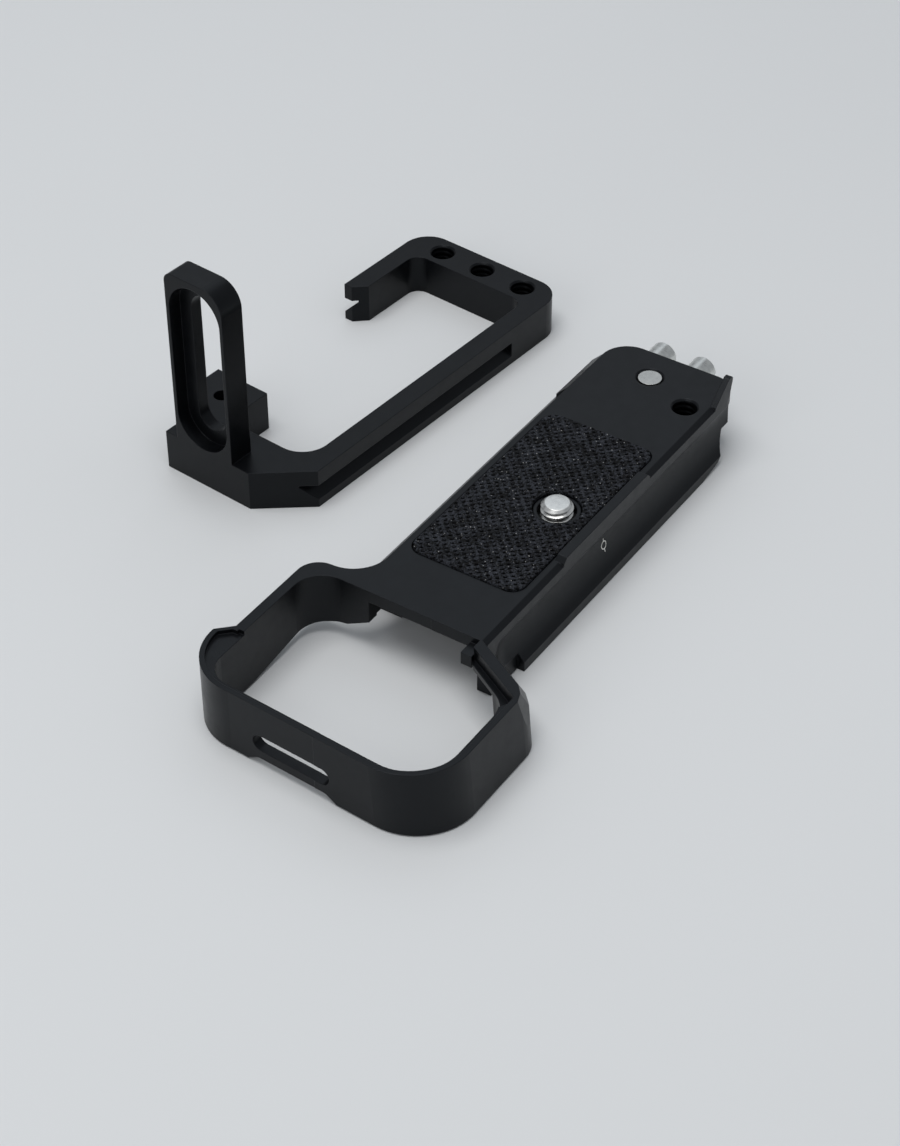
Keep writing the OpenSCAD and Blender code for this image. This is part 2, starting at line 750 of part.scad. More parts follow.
module rubber_pad() {
    color(rubber) placed() difference() {
        along_z(pad_proud - pad_t, pad_proud) pad_outline(0);
        at_screw() translate([0, 0, -pad_t]) cylinder(d = pad_hole_d, h = 2 * pad_t + cut);
    }
}

module retaining_ring() {
    color(steel) translate([0, 0, seat_floor]) difference() {
        cylinder(r = clip_r, h = clip_t);
        translate([0, 0, -cut]) cylinder(r = neck_d / 2 + neck_gap, h = clip_t + 2 * cut);
        block([0, -clip_gap / 2, -cut], [seat_d, clip_gap / 2, clip_t + cut]);
    }
}

module camera_screw() {
    neck_top = tip_over - thread_len;
    head_top = neck_top - neck_len;
    color(steel) difference() {
        union() {
            translate([0, 0, neck_top]) cylinder(d = thread_d, h = thread_len - tip_chamfer);
            translate([0, 0, tip_over - tip_chamfer])
                cylinder(d1 = thread_d, d2 = thread_d - 2 * tip_chamfer, h = tip_chamfer);
            translate([0, 0, head_top - head_t / 2]) cylinder(d = neck_d, h = neck_len + head_t / 2 + 0.1);
            translate([0, 0, head_top - head_t]) cylinder(d = head_d, h = head_t);
        }
        translate([0, 0, head_top - head_t - cut])
            cylinder(d = socket_af / cos(30), h = socket_d + cut, $fn = 6);
    }
}

module lock_screw() {
    head_low = floor_z + lock_lift;
    color(steel) placed() translate([lock_x, lock_y, 0]) difference() {
        union() {
            translate([0, 0, head_low]) cylinder(d = lock_head_d, h = lock_head_t);
            translate([0, 0, head_low + lock_head_t / 2])
                cylinder(d = lock_d, h = deck_h - lock_lift - lock_under - lock_head_t / 2);
        }
        translate([0, 0, head_low - cut])
            cylinder(d = lock_socket_af / cos(30), h = lock_socket_d + cut, $fn = 6);
    }
}

// Round pin with a domed end
module guide_pin() {
    intersection() {
        translate([-pin_in, 0, 0]) rotate([0, 90, 0]) cylinder(d = pin_d, h = pin_in + pin_out);
        translate([pin_out - pin_dome_r, 0, 0]) union() {
            sphere(pin_dome_r);
            rotate([0, -90, 0]) cylinder(r = pin_dome_r, h = pin_in + pin_out);
        }
    }
}

module guide_pin_left() {
    color(steel) placed() translate([far_len, pin_y + pin_gap / 2, -pin_under]) guide_pin();
}

module guide_pin_right() {
    color(steel) placed() translate([far_len, pin_y - pin_gap / 2, -pin_under]) guide_pin();
}

module frame_outline() {
    inner = frame_half - short_arm;
    rounded_outline([[0, -foot_right, 0], [foot_slant, -frame_half, 0],
        [frame_len, -frame_half, frame_r], [frame_len, frame_half, frame_r],
        [arm_end, frame_half, 0], [arm_end, inner + arm_chamfer, 0],
        [arm_end + arm_chamfer, inner, 0], [frame_len - hole_arm, inner, window_r],
        [frame_len - hole_arm, long_arm - frame_half, window_r], [foot_h, long_arm - frame_half, 2 * window_r],
        [foot_h, frame_half - stub_w, window_r], [stub_h, frame_half - stub_w, 0],
        [stub_h, frame_half, 0], [foot_slant, frame_half, 0], [foot_step, foot_left, 0], [0, foot_left, 0]]);
}

// Clamp groove along one side of the frame
module clamp_groove() {
    along_x(-cut, frame_len - groove_stop)
        polygon([[frame_half + cut, groove_land - cut], [frame_half + cut, groove_top],
            [frame_half - groove_d, groove_top], [frame_half - groove_d, groove_land + groove_d]]);
}

module tongue() {
    track_low = frame_t + track_start + track_w / 2;
    track_high = tongue_top - track_end - track_w / 2;
    translate([0, tongue_shift, 0]) difference() {
        along_x(0, tongue_t)
            rounded_outline([[-tongue_w / 2, frame_t / 2, 0], [tongue_w / 2, frame_t / 2, 0],
                [tongue_w / 2, tongue_top, tongue_left_r], [-tongue_w / 2, tongue_top, tongue_right_r]]);
        along_x(-cut, track_d) capsule([0, track_low], [0, track_high], track_w);
        along_x(-cut, tongue_t + cut) capsule([0, track_low], [0, track_high], slot_w);
    }
}

module side_bracket() {
    color(black) placed() translate([bracket_x, bracket_y, floor_z]) rotate([0, 0, bracket_turn]) {
        difference() {
            along_z(0, frame_t) frame_outline();
            clamp_groove();
            mirror([0, 1, 0]) clamp_groove();
            for (i = [-1 : 1])
                translate([frame_len - hole_arm / 2, i * tap_gap - tap_shift, frame_t])
                    tapped_hole(frame_t + cut);
            translate([stub_hole_x, stub_hole_y, -cut]) cylinder(d = stub_hole_d, h = frame_t + 2 * cut);
        }
        tongue();
    }
}

base_plate();
rubber_pad();
retaining_ring();
camera_screw();
lock_screw();
guide_pin_left();
guide_pin_right();
side_bracket();
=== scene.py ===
import json
import math

import bmesh
import bpy
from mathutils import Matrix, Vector


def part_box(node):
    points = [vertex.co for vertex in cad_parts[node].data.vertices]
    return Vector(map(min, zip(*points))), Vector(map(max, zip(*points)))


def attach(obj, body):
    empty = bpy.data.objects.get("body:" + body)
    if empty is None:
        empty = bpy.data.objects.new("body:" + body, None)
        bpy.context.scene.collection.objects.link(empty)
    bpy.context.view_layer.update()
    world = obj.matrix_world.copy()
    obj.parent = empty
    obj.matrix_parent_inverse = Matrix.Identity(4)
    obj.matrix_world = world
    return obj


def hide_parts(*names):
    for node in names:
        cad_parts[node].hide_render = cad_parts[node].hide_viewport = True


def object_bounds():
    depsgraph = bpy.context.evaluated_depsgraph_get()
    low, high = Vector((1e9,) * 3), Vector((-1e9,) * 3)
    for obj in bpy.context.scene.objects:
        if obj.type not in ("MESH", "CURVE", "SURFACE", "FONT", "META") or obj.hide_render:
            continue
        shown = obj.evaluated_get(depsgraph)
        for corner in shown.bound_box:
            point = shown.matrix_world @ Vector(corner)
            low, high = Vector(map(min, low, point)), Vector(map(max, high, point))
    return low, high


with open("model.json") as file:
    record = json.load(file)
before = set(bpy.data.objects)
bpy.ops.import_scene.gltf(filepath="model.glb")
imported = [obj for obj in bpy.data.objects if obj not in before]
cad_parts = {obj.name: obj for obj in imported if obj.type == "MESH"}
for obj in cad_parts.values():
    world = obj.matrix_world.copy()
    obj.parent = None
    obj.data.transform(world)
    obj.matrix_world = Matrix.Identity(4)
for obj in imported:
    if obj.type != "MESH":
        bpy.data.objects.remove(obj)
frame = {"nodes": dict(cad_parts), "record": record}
CAD_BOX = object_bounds()
NODES = frame["nodes"]
MOUNTS = {m["name"]: m for m in frame["record"]["mounts"]}
MM = 0.001
TURN = 2 * math.pi
SIXTH = TURN / 6

# Thread of the camera screw and of the tapped holes: 1/4 inch, 20 to the inch
PITCH = 1.27 * MM
MAJOR_R = 3.17 * MM
MINOR_R = 2.45 * MM
# Share of the pitch that a full flank takes, and share of the flank that the flat root cuts off
FLANK = 0.3
ROOT_FLAT = 0.3

# Camera screw, heights above the deck
TIP_Z = 1.7 * MM
TIP_CHAMFER = 0.8 * MM
TIP_INSET = 0.16 * MM
TIP_CORE_R = 0.8 * MM
THREAD_Z = -2.5 * MM
THREAD_RISE = 1.2
NECK_R = 2.5 * MM
NECK_FILLET = 0.35 * MM
NECK_END = 0.05 * MM
HEAD_TOP = -9.7 * MM
HEAD_Z = -13.0 * MM
HEAD_R = 5.68 * MM
KNURL_DEEP = 0.16 * MM
# Rounded rim of the head: its size, a point half-way round it, and where the flat face ends
HEAD_EDGE = 0.55 * MM
EDGE_IN = 0.12 * MM
EDGE_UP = 0.4 * MM
HEAD_FACE = 1.2 * MM
# Rise of the narrow bands that soften the head's face and the tip
SOFT = 0.04 * MM
# Hexagon socket: half its width across the flats, its depth and its flared mouth
SOCKET_HALF = 2 * MM
SOCKET_DEPTH = 2 * MM
SOCKET_MOUTH = 0.25 * MM
SOCKET_FLARE = 1.09
SOCKET_CORE_R = 0.3 * MM

# Liners of the tapped holes: ridges standing in from a thin sleeve, heights above the deck
LINER_DEEP = 0.3 * MM
LINER_ROOT = 0.2 * MM
LINER_PROUD = 0.012 * MM
LINER_FADE = 8
DECK_LINER_Z = (-8.6 * MM, -0.35 * MM)
BRACKET_LINER_Z = (-13.6 * MM, -5.55 * MM)

# Points round a turned piece and round a liner, and rows along their threads
ROUND = 96
SCREW_ROWS = 96
LINER_ROUND = 64
LINER_ROWS = 110

# Rubber pad: gap to its recess, corner radius, screw hole and rounded edge
PAD_GAP = Vector((0.2 * MM, 0.2 * MM, 0))
PAD_CORNER = 3 * MM
PAD_HOLE = 4.75 * MM
PAD_EDGE = 0.55 * MM
PAD_DROP = 0.3 * MM
# Weave moulded into its top: pitch and half size of the hollows, and how deep they are
DASH_PITCH = (1.15 * MM, 1.47 * MM)
DASH_HALF = (0.27 * MM, 0.5 * MM)
WEAVE_DEEP = 0.5 * MM
HOLLOW_SHARE = 0.75
# Weave depth past which a face of the top takes the darker rubber, painted shade in the hollows
HOLLOW_SHADE_FROM = 0.5
# Grid that the pad is made on: its step, the least edge distance of a face, the weld at the rim
PAD_STEP = 0.13 * MM
PAD_LEAST = 1e-9
PAD_WELD = 0.004 * MM

# Collar round the camera screw, seen in the pad's hole
COLLAR_R = (3.75 * MM, 4.6 * MM)
COLLAR_Z = (-1.05 * MM, -0.2 * MM)
COLLAR_BREAK = 0.12 * MM

# Hollow of the plate's right wall, which carries the index mark
COVE_Y = -17.458 * MM
COVE_Z = -5.389 * MM
COVE_R = 9.1 * MM
# Index mark: its middle along the plate and along the hollow, its ring and strokes
MARK_X = 3.3 * MM
MARK_T = -1.75 * MM
MARK_R = 0.8 * MM
MARK_REACH = 1.5 * MM
MARK_HALF = 0.11 * MM
MARK_LIFT = 0.02 * MM
MARK_ROUND = 40
MARK_STEPS = 6

# Cool tints of the blacks, and the colours of wear, dust and steel
ANODISED_TINT = (1, 1.1, 1.36)
ANODISED_SHEEN = (0.88, 0.94, 1, 1)
RUBBER_TINT = (1, 1.1, 1.35)
WORN_EDGE = (0.022, 0.023, 0.026)
DUST = (0.42, 0.42, 0.41)
CAMERA_SCREW_STEEL = (0.78, 0.78, 0.76)
LOCK_SCREW_STEEL = (0.58, 0.58, 0.56)
PIN_STEEL = (0.72, 0.73, 0.71)
RING_STEEL = (0.34, 0.34, 0.34)
# Radius that rendered edges are rounded to
BLACK_EDGE = 0.22 * MM
STEEL_EDGE = 0.12 * MM
# Cosine between rounded and true normal where an edge begins to show, and where it shows fully
EDGE_SHOWS = (0.97, 0.84)

# Studio: floor, sky and lamps, each lamp with its place, size, watts and colour
FLOOR_HALF = 3.0
FLOOR_DROP = 0.02 * MM
FLOOR_PALE = (0.72, 0.73, 0.735)
FLOOR_TONES = ((0.71, 0.72, 0.725), (0.735, 0.745, 0.75))
SKY = (0.86, 0.9, 0.95, 1)
SKY_STRENGTH = 0.4
LAMP_AIM = Vector((0, 0.03, 0))
LAMPS = (
    ("overhead", (-0.15, 0.1, 0.95), (0.7, 0.6), 4.9, (1, 1, 1)),
    ("back", (0.44, 0.32, 0.6), (0.5, 0.5), 0.42, (0.86, 0.93, 1)),
    ("front", (-0.82, 0.08, 0.45), (0.45, 0.45), 1.0, (1, 1, 1)),
)
# Camera: place, turn in degrees, lens and sensor in millimetres
CAMERA_PLACE = (-0.326546, -0.192108, 0.304593)
CAMERA_TURN = (49.7493, 0.0707, -56.5422)
CAMERA_LENS = 81.1114
CAMERA_SENSOR = 36
CAMERA_NEAR = 0.01


# ---------------------------------------------------------------- materials

def new_material(name, color, roughness, metallic=0.0):
    mat = bpy.data.materials.new(name)
    mat.use_nodes = True
    shader = mat.node_tree.nodes["Principled BSDF"]
    shader.inputs["Base Color"].default_value = (*color, 1)
    shader.inputs["Roughness"].default_value = roughness
    shader.inputs["Metallic"].default_value = metallic
    return mat, mat.node_tree, shader


def link(tree, source, target):
    tree.links.new(source, target)


def fill(tree, socket, value):
    """Sets a socket to a number or a colour, or links it to another socket."""
    if isinstance(value, (int, float)):
        socket.default_value = value
    elif isinstance(value, tuple):
        socket.default_value = (*value, 1)
    else:
        link(tree, value, socket)


def tinted(value, tint):
    return tuple(value * channel for channel in tint)


def place(tree, offset=(0, 0, 0)):
    """Object coordinates, measured from offset."""
    coords = tree.nodes.new("ShaderNodeTexCoord")
    mapping = tree.nodes.new("ShaderNodeMapping")
    mapping.inputs["Location"].default_value = [-c for c in offset]
    link(tree, coords.outputs["Object"], mapping.inputs["Vector"])
    return mapping.outputs["Vector"]


def noise(tree, vector, scale, detail):
    node = tree.nodes.new("ShaderNodeTexNoise")
    node.inputs["Scale"].default_value = scale
    node.inputs["Detail"].default_value = detail
    link(tree, vector, node.inputs["Vector"])
    return node.outputs["Fac"]


def spread(tree, value, span, to=(0, 1)):
    """Maps value from one span of numbers to another."""
    node = tree.nodes.new("ShaderNodeMapRange")
    keys = ("From Min", "From Max", "To Min", "To Max")
    for key, number in zip(keys, (*span, *to)):
        node.inputs[key].default_value = number
    link(tree, value, node.inputs["Value"])
    return node.outputs["Result"]


def ramp(tree, value, *stops):
    """Colours value by stops, each a position and a colour."""
    node = tree.nodes.new("ShaderNodeValToRGB")
    band = node.color_ramp
    while len(band.elements) < len(stops):
        band.elements.new(0.5)
    for element, (position, color) in zip(band.elements, stops):
        element.position = position
        element.color = (*color, 1)
    link(tree, value, node.inputs["Fac"])
    return node.outputs["Color"]


def blend(tree, factor, first, second, mode="MIX"):
    node = tree.nodes.new("ShaderNodeMix")
    node.data_type = "RGBA"
    node.blend_type = mode
    # The inputs of a colour mix: factor, A and B
    for socket, value in ((0, factor), (6, first), (7, second)):
        fill(tree, node.inputs[socket], value)
    return node.outputs[2]


def maths(tree, operation, first, second):
    node = tree.nodes.new("ShaderNodeMath")
    node.operation = operation
    for socket, value in zip(node.inputs, (first, second)):
        fill(tree, socket, value)
    return node.outputs[0]


def bump(tree, shader, height, distance, strength, normal=None):
    node = tree.nodes.new("ShaderNodeBump")
    node.inputs["Strength"].default_value = strength
    node.inputs["Distance"].default_value = distance
    link(tree, height, node.inputs["Height"])
    if normal is not None:
        link(tree, normal, node.inputs["Normal"])
    link(tree, node.outputs["Normal"], shader.inputs["Normal"])


def edge_mask(tree, radius):
    """Rounded normal of an edge, and how near an edge a point is."""
    rounded = tree.nodes.new("ShaderNodeBevel")
    rounded.samples = 6
    rounded.inputs["Radius"].default_value = radius
    geometry = tree.nodes.new("ShaderNodeNewGeometry")
    dot = tree.nodes.new("ShaderNodeVectorMath")
    dot.operation = "DOT_PRODUCT"
    link(tree, rounded.outputs["Normal"], dot.inputs[0])
    link(tree, geometry.outputs["Normal"], dot.inputs[1])
    return rounded.outputs["Normal"], spread(tree, dot.outputs["Value"], EDGE_SHOWS)


def anodised(name, tone, gloss):
    """Bead-blasted and black anodised aluminium, worn a little lighter along its edges."""
    low, high = (tinted(shade * tone, ANODISED_TINT) for shade in (0.82, 1.18))
    mat, tree, shader = new_material(name, high, roughness=0.34)
    shader.inputs["Specular IOR Level"].default_value = gloss
    shader.inputs["Specular Tint"].default_value = ANODISED_SHEEN
    vector = place(tree)
    broad = noise(tree, vector, scale=90, detail=4)
    fine = noise(tree, vector, scale=9000, detail=2)
    cloud = noise(tree, vector, scale=420, detail=5)
    tones = ramp(tree, broad, (0.3, low), (0.7, high))
    grain = ramp(tree, fine, (0.3, (0.82, 0.82, 0.82)), (0.7, (1.15, 1.15, 1.15)))
    rounded, near = edge_mask(tree, BLACK_EDGE)
    patchy = spread(tree, cloud, (0.35, 0.62), to=(0.15, 0.75))
    wear = maths(tree, "MULTIPLY", near, patchy)
    grained = blend(tree, 1, tones, grain, "MULTIPLY")
    link(tree, blend(tree, wear, grained, WORN_EDGE), shader.inputs["Base Color"])
    rough = maths(
        tree, "ADD",
        spread(tree, cloud, (0.3, 0.7), to=(0.3, 0.38)),
        spread(tree, fine, (0.3, 0.7), to=(-0.04, 0.04)))
    link(tree, rough, shader.inputs["Roughness"])
    bump(tree, shader, fine, distance=0.006 * MM, strength=0.5, normal=rounded)
    return mat


def rubber(name, tone, dust, gloss):
    """Matt black rubber with a dusting of bright grains."""
    mat, tree, shader = new_material(name, (tone, tone, tone), roughness=0.72)
    shader.inputs["Specular IOR Level"].default_value = gloss
    vector = place(tree)
    broad = noise(tree, vector, scale=420, detail=4)
    fine = noise(tree, vector, scale=3200, detail=3)
    low, high = (tinted(tone * shade, RUBBER_TINT) for shade in (0.1, 3))
    mixed = maths(
        tree, "ADD", maths(tree, "MULTIPLY", broad, 0.3), maths(tree, "MULTIPLY", fine, 0.7))
    color = ramp(tree, mixed, (0.45, low), (0.6, high))
    cells = tree.nodes.new("ShaderNodeTexVoronoi")
    cells.inputs["Scale"].default_value = 2600
    link(tree, vector, cells.inputs["Vector"])
    chosen = tree.nodes.new("ShaderNodeSeparateColor")
    link(tree, cells.outputs["Color"], chosen.inputs["Color"])
    share = spread(tree, chosen.outputs["Red"], (0.6, 1))
    grains = maths(
        tree, "MULTIPLY",
        spread(tree, cells.outputs["Distance"], (0.2, 0.34), to=(dust, 0)),
        maths(tree, "POWER", share, 8))
    link(tree, blend(tree, grains, color, DUST), shader.inputs["Base Color"])
    rough = maths(
        tree, "SUBTRACT",
        spread(tree, fine, (0.3, 0.7), to=(0.62, 0.82)),
        maths(tree, "MULTIPLY", grains, 0.35))
    link(tree, rough, shader.inputs["Roughness"])
    bump(tree, shader, fine, distance=0.05 * MM, strength=0.8)
    return mat


def turned_steel(name, centre, axis, color, roughness=0.3):
    """Bright steel with the fine rings that a lathe leaves about its axis."""
    mat, tree, shader = new_material(name, color, roughness, metallic=1.0)
    vector = place(tree, centre)
    rings = tree.nodes.new("ShaderNodeTexWave")
    rings.wave_type = "RINGS"
    rings.rings_direction = axis
    rings.inputs["Scale"].default_value = 1700
    rings.inputs["Distortion"].default_value = 0.6
    rings.inputs["Detail"].default_value = 2
    rings.inputs["Detail Scale"].default_value = 2
    link(tree, vector, rings.inputs["Vector"])
    cloud = noise(tree, vector, scale=900, detail=4)
    dark = tuple(c * 0.82 for c in color)
    tone = ramp(tree, cloud, (0.35, dark), (0.65, color))
    rounded, near = edge_mask(tree, STEEL_EDGE)
    bright = tuple(min(1, c * 1.15) for c in color)
    link(tree, blend(tree, near, tone, bright), shader.inputs["Base Color"])
    rough = spread(tree, cloud, (0.3, 0.7), to=(roughness - 0.05, roughness + 0.09))
    link(tree, rough, shader.inputs["Roughness"])
    bump(tree, shader, rings.outputs["Fac"], distance=0.004 * MM, strength=0.5, normal=rounded)
    return mat


def mark_paint():
    """White filling of the small index mark."""
    mat, tree, shader = new_material("mark_white", (0.75, 0.73, 0.68), roughness=0.6)
    patch = noise(tree, place(tree), scale=2600, detail=3)
    color = ramp(tree, patch, (0.3, (0.6, 0.58, 0.52)), (0.65, (0.85, 0.84, 0.8)))
    link(tree, color, shader.inputs["Base Color"])
    link(tree, spread(tree, patch, (0.3, 0.7), to=(0.5, 0.7)), shader.inputs["Roughness"])
    return mat


def floor_paint():
    """Plain pale floor with hardly any change of tone."""
    mat, tree, shader = new_material("floor_pale", FLOOR_PALE, roughness=0.75)
    shader.inputs["Specular IOR Level"].default_value = 0.2
    cloud = noise(tree, place(tree), scale=3, detail=3)
    low, high = FLOOR_TONES
    link(tree, ramp(tree, cloud, (0.3, low), (0.7, high)), shader.inputs["Base Color"])
    return mat


# ---------------------------------------------------------------- mesh pieces

def new_piece(name, verts, faces, mat, body):
    mesh = bpy.data.meshes.new(name)
    mesh.from_pydata(verts, [], faces)
    mesh.validate()
    mesh.polygons.foreach_set("use_smooth", [True] * len(mesh.polygons))
    mesh.materials.append(mat)
    obj = bpy.data.objects.new(name, mesh)
    bpy.context.scene.collection.objects.link(obj)
    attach(obj, body)
    return obj


def sharpen(obj, degrees):
    """Marks the edges that bend by more than these degrees as sharp."""
    mesh = bmesh.new()
    mesh.from_mesh(obj.data)
    bmesh.ops.recalc_face_normals(mesh, faces=mesh.faces)
    for edge in mesh.edges:
        if len(edge.link_faces) == 2 and edge.calc_face_angle() > math.radians(degrees):
            edge.smooth = False
    mesh.to_mesh(obj.data)
    mesh.free()


def thread_height(angle, z):
    """0 in the root of a thread of PITCH and 1 on its crest."""
    phase = (z / PITCH - angle / TURN) % 1
    return min(1, max(0, (0.5 - abs(phase - 0.5)) / FLANK - ROOT_FLAT))


def ring_faces(rings, around, closed=False):
    """Faces between rings of points; closed also joins the last ring to the first."""
    faces = []
    for r in range(rings if closed else rings - 1):
        here, there = r * around, (r + 1) % rings * around
        for i in range(around):
            after = (i + 1) % around
            faces.append((here + i, here + after, there + after, there + i))
    return faces


def screw_piece(mat):
    """Camera screw, ring by ring: socket, knurled head, neck, and the thread up to its tip."""
    verts, rings = [], 0

    def ring(radius_of, z):
        nonlocal rings
        rings += 1
        for i in range(ROUND):
            angle = TURN * i / ROUND
            radius = radius_of(angle, i)
            verts.append((radius * math.cos(angle), radius * math.sin(angle), z))

    def plain(radius):
        return lambda angle, i: radius

    def threaded(z):
        chamfer = MAJOR_R - (z - (TIP_Z - TIP_CHAMFER))
        runout = NECK_R + (z - THREAD_Z) * THREAD_RISE
        reach = min(MAJOR_R, chamfer, runout)
        deep = MAJOR_R - MINOR_R
        return lambda angle, i: min(reach, MINOR_R + deep * thread_height(angle, z))

    def hexagon(angle, i):
        from_flat = (angle + SIXTH / 2) % SIXTH - SIXTH / 2
        return SOCKET_HALF / math.cos(from_flat)

    def knurl(inset):
        return lambda angle, i: HEAD_R - inset - (KNURL_DEEP if i % 2 else 0)

    ring(plain(SOCKET_CORE_R), HEAD_Z + SOCKET_DEPTH)
    ring(hexagon, HEAD_Z + SOCKET_DEPTH)
    ring(hexagon, HEAD_Z + SOCKET_MOUTH)
    ring(lambda angle, i: hexagon(angle, i) * SOCKET_FLARE, HEAD_Z)
    ring(plain(HEAD_R - HEAD_FACE), HEAD_Z)
    ring(plain(HEAD_R - HEAD_EDGE), HEAD_Z + SOFT)
    ring(knurl(EDGE_IN), HEAD_Z + EDGE_UP)
    ring(knurl(0), HEAD_Z + HEAD_EDGE)
    ring(knurl(0), HEAD_TOP - HEAD_EDGE)
    ring(knurl(EDGE_IN), HEAD_TOP - EDGE_UP)
    ring(plain(HEAD_R - HEAD_EDGE), HEAD_TOP)
    ring(plain(NECK_R + NECK_FILLET), HEAD_TOP)
    ring(plain(NECK_R), HEAD_TOP + NECK_FILLET)
    ring(plain(NECK_R), THREAD_Z - NECK_END)
    for k in range(SCREW_ROWS + 1):
        z = THREAD_Z + (TIP_Z - SOFT - THREAD_Z) * k / SCREW_ROWS
        ring(threaded(z), z)
    ring(plain(MAJOR_R - TIP_CHAMFER - TIP_INSET), TIP_Z)
    ring(plain(TIP_CORE_R), TIP_Z)
    faces = ring_faces(rings, ROUND)
    faces.append(tuple(reversed(range(ROUND))))
    faces.append(tuple(range((rings - 1) * ROUND, rings * ROUND)))
    obj = new_piece("camera_screw_threaded", verts, faces, mat, "camera_screw")
    sharpen(obj, degrees=32)
    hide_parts("camera_screw")


def tapped_liner(name, mount, heights, body, mat):
    """Helical ridges of a thread, standing in from the wall of a tapped hole."""
    x, y, _ = mount["pos_m"]
    low, high = heights
    wall = mount["dims"]["r_mm"] * MM - LINER_PROUD
    last = LINER_ROWS - 1
    verts = []

    def ring(z, radius_of):
        for i in range(LINER_ROUND):
            angle = TURN * i / LINER_ROUND
            radius = radius_of(angle)
            verts.append((x + radius * math.cos(angle), y + radius * math.sin(angle), z))

    for k in range(LINER_ROWS):
        z = low + (high - low) * k / last
        fade = min(1, k / LINER_FADE, (last - k) / LINER_FADE)
        ring(z, lambda angle: wall - LINER_DEEP * fade * thread_height(angle, z))
    for z in (high, low):
        ring(z, lambda angle: wall + LINER_ROOT)
    faces = ring_faces(LINER_ROWS + 2, LINER_ROUND, closed=True)
    sharpen(new_piece(name, verts, faces, mat, body), degrees=60)


def weave(x, y):
    """How deep a point of the weave lies, 0 to 1.

    Rows of short hollows are laid at 45 degrees between rounded strands.
    """
    across, along = (x + y) / math.sqrt(2), (x - y) / math.sqrt(2)
    u, v = ((t / pitch) % 1 - 0.5 for t, pitch in zip((across, along), DASH_PITCH))
    hollow = 1 - (u * DASH_PITCH[0] / DASH_HALF[0]) ** 2 - (v * DASH_PITCH[1] / DASH_HALF[1]) ** 2
    strand = (1 + math.cos(TURN * u)) * (1 + math.cos(TURN * v)) / 4
    return HOLLOW_SHARE * math.sqrt(max(0, hollow)) + (1 - HOLLOW_SHARE) * strand


def pad_inside(low, high, x, y):
    """How far a point lies inside the pad's outline, and where one outside it is drawn to."""
    cx = min(max(x, low.x + PAD_CORNER), high.x - PAD_CORNER)
    cy = min(max(y, low.y + PAD_CORNER), high.y - PAD_CORNER)
    dx, dy = x - cx, y - cy
    far = math.hypot(dx, dy)
    if dx and dy:
        edge = PAD_CORNER - far
        near = (cx + dx / far * PAD_CORNER, cy + dy / far * PAD_CORNER)
    else:
        edge = min(x - low.x, high.x - x, y - low.y, high.y - y)
        near = (x, y)
    hole = math.hypot(x, y)
    if hole - PAD_HOLE < edge:
        edge = hole - PAD_HOLE
        near = (x / hole * PAD_HOLE, y / hole * PAD_HOLE) if hole else (0, 0)
    return edge, near


def close_below(obj, level):
    """Welds the rim of a sheet and closes it with a skirt and a flat bottom at level."""
    mesh = bmesh.new()
    mesh.from_mesh(obj.data)
    loose = [v for v in mesh.verts if not v.link_faces]
    bmesh.ops.delete(mesh, geom=loose, context="VERTS")
    bmesh.ops.remove_doubles(mesh, verts=mesh.verts, dist=PAD_WELD)
    rim = [e for e in mesh.edges if len(e.link_faces) == 1]
    skirt = bmesh.ops.extrude_edge_only(mesh, edges=rim)["geom"]
    for v in skirt:
        if isinstance(v, bmesh.types.BMVert):
            v.co.z = level
    bottom = [e for e in mesh.edges if len(e.link_faces) == 1]
    bmesh.ops.triangle_fill(mesh, edges=bottom, use_beauty=True)
    bmesh.ops.recalc_face_normals(mesh, faces=mesh.faces)
    mesh.to_mesh(obj.data)
    mesh.free()


def pad_piece(mat, shade_mat):
    """Rubber pad with the weave in its top, made on a grid whose rim is drawn to the outline."""
    low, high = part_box("rubber_pad")
    low, high = low + PAD_GAP, high - PAD_GAP
    cols = round((high.x - low.x) / PAD_STEP)
    rows = round((high.y - low.y) / PAD_STEP)
    verts, edges, faces = [], [], []
    for r in range(rows + 1):
        for c in range(cols + 1):
            x = low.x + (high.x - low.x) * c / cols
            y = low.y + (high.y - low.y) * r / rows
            edge, near = pad_inside(low, high, x, y)
            edges.append(edge)
            if edge <= 0:
                x, y, edge = *near, 0
            share = min(1, edge / PAD_EDGE)
            rise = math.sqrt(max(0, 1 - (1 - share) ** 2))
            z = high.z - WEAVE_DEEP * weave(x, y) * share - PAD_DROP * (1 - rise)
            verts.append((x, y, z))
    for r in range(rows):
        for c in range(cols):
            here = r * (cols + 1) + c
            there = here + cols + 1
            quad = (here, here + 1, there + 1, there)
            if any(edges[k] > PAD_LEAST for k in quad):
                faces.append(quad)
    obj = new_piece("rubber_pad_woven", verts, faces, mat, "base")
    close_below(obj, low.z)
    obj.data.materials.append(shade_mat)
    # Faces deep in the hollows of the top take the second, far darker rubber: painted shade
    for face in obj.data.polygons:
        spot = face.center
        if spot.z > low.z + (high.z - low.z) / 2 and weave(spot.x, spot.y) > HOLLOW_SHADE_FROM:
            face.material_index = 1
    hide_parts("rubber_pad")


def collar_piece(mat):
    """Flat ring with broken edges in the mouth of the screw's hole."""
    (inner, outer), (bottom, top) = COLLAR_R, COLLAR_Z
    cut = COLLAR_BREAK
    profile = [
        (inner, bottom), (inner, top - cut), (inner + cut, top),
        (outer - cut, top), (outer, top - cut), (outer, bottom)]
    angles = [TURN * i / ROUND for i in range(ROUND)]
    verts = [
        (radius * math.cos(angle), radius * math.sin(angle), z)
        for radius, z in profile for angle in angles]
    faces = ring_faces(len(profile), ROUND, closed=True)
    obj = new_piece("screw_hole_collar", verts, faces, mat, "base")
    sharpen(obj, degrees=30)


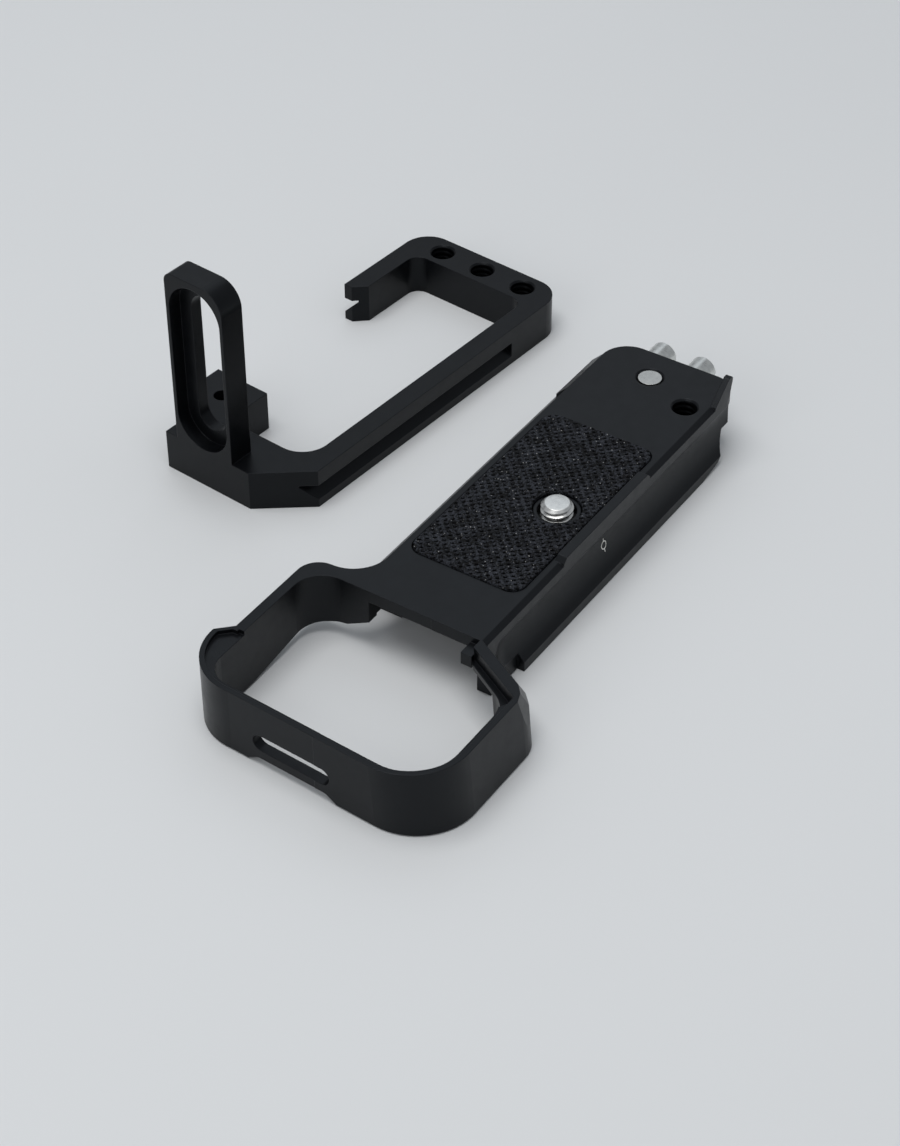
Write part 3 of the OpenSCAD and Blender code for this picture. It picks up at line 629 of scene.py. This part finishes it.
def mark_piece(mat):
    """Index mark on the hollow wall: a small ring with a stroke above and below it."""
    verts, faces = [], []

    def point(s, t, up):
        angle = t / COVE_R
        radius = COVE_R - up
        return (
            MARK_X + s, COVE_Y + radius * math.cos(angle), COVE_Z + radius * math.sin(angle))

    def strip(path, closed):
        start, count = len(verts), len(path)
        for k, (s, t) in enumerate(path):
            before = path[k - 1] if closed or k else path[k]
            after = path[(k + 1) % count] if closed or k < count - 1 else path[k]
            along = Vector((after[0] - before[0], after[1] - before[1])).normalized()
            side = Vector((-along.y, along.x)) * MARK_HALF
            for sign, up in ((-1, -MARK_LIFT), (-1, MARK_LIFT), (1, MARK_LIFT), (1, -MARK_LIFT)):
                verts.append(point(s + sign * side.x, t + sign * side.y, up))
        for k in range(count if closed else count - 1):
            a, b = start + 4 * k, start + 4 * ((k + 1) % count)
            for e in range(4):
                faces.append((a + e, a + (e + 1) % 4, b + (e + 1) % 4, b + e))
        if not closed:
            faces.append(tuple(range(start, start + 4)))
            faces.append(tuple(range(start + 4 * count - 4, start + 4 * count)))

    angles = [TURN * k / MARK_ROUND for k in range(MARK_ROUND)]
    strip([(MARK_R * math.cos(a), MARK_T + MARK_R * math.sin(a)) for a in angles], closed=True)
    stroke = MARK_REACH - MARK_R
    for foot in (MARK_T + MARK_R, MARK_T - MARK_REACH):
        steps = range(MARK_STEPS + 1)
        strip([(0, foot + stroke * k / MARK_STEPS) for k in steps], closed=False)
    obj = new_piece("index_mark", verts, faces, mat, "base")
    sharpen(obj, degrees=40)


# ---------------------------------------------------------------- the part

def dress(node, mat):
    NODES[node].data.materials.clear()
    NODES[node].data.materials.append(mat)


def node_centre(node):
    low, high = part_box(node)
    return (low + high) / 2


base_black = anodised("base_black", tone=0.0034, gloss=0.22)
bracket_black = anodised("bracket_black", tone=0.003, gloss=0.185)
# A darker, duller copy of the black for the threads inside the tapped holes: painted shade
thread_shaded_black = anodised("thread_shaded_black", tone=0.0012, gloss=0.05)
dress("base_plate", base_black)
dress("side_bracket", bracket_black)

lock_centre = node_centre("lock_screw")
dress("lock_screw", turned_steel("lock_screw_steel", lock_centre, "Z", LOCK_SCREW_STEEL))
for pin in ("guide_pin_left", "guide_pin_right"):
    dress(pin, turned_steel(pin + "_steel", node_centre(pin), "X", PIN_STEEL))
ring_steel = turned_steel("retaining_ring_steel", (0, 0, 0), "Z", RING_STEEL, roughness=0.35)
dress("retaining_ring", ring_steel)

screw_piece(turned_steel("camera_screw_steel", (0, 0, 0), "Z", CAMERA_SCREW_STEEL))
# The second rubber, far darker and duller than the first, is painted shade for the hollows of the
# weave
pad_piece(
    rubber("rubber_black", tone=0.0108, dust=1, gloss=0.14),
    rubber("rubber_painted_shade", tone=0.0007, dust=0.1, gloss=0.04))
collar_piece(base_black)
mark_piece(mark_paint())

tapped_liner("deck_hole_thread", MOUNTS["deck_hole"], DECK_LINER_Z, "base", thread_shaded_black)
for hole in ("bracket_hole_left", "bracket_hole_middle", "bracket_hole_right"):
    tapped_liner(hole + "_thread", MOUNTS[hole], BRACKET_LINER_Z, "side_bracket", thread_shaded_black)


# ---------------------------------------------------------------- the studio

def floor():
    level = CAD_BOX[0].z - FLOOR_DROP
    signs = ((-1, -1), (1, -1), (1, 1), (-1, 1))
    corners = [(x * FLOOR_HALF, y * FLOOR_HALF, level) for x, y in signs]
    mesh = bpy.data.meshes.new("floor")
    mesh.from_pydata(corners, [], [(0, 1, 2, 3)])
    mesh.materials.append(floor_paint())
    obj = bpy.data.objects.new("floor", mesh)
    bpy.context.scene.collection.objects.link(obj)


def sky():
    world = bpy.data.worlds.new("studio")
    world.use_nodes = True
    background = world.node_tree.nodes["Background"]
    background.inputs["Color"].default_value = SKY
    background.inputs["Strength"].default_value = SKY_STRENGTH
    bpy.context.scene.world = world


def lamp(name, spot, size, power, color):
    data = bpy.data.lights.new(name, "AREA")
    data.shape = "RECTANGLE"
    data.size, data.size_y = size
    data.energy = power
    data.color = color
    obj = bpy.data.objects.new(name, data)
    obj.location = spot
    obj.rotation_euler = (LAMP_AIM - Vector(spot)).to_track_quat("-Z", "Y").to_euler()
    bpy.context.scene.collection.objects.link(obj)


def camera():
    data = bpy.data.cameras.new("camera")
    data.lens = CAMERA_LENS
    data.sensor_width = CAMERA_SENSOR
    data.clip_start = CAMERA_NEAR
    obj = bpy.data.objects.new("camera", data)
    obj.location = CAMERA_PLACE
    obj.rotation_euler = [math.radians(a) for a in CAMERA_TURN]
    bpy.context.scene.collection.objects.link(obj)
    bpy.context.scene.camera = obj


floor()
sky()
for row in LAMPS:
    lamp(*row)
camera()
bpy.context.scene.view_settings.view_transform = "Standard"
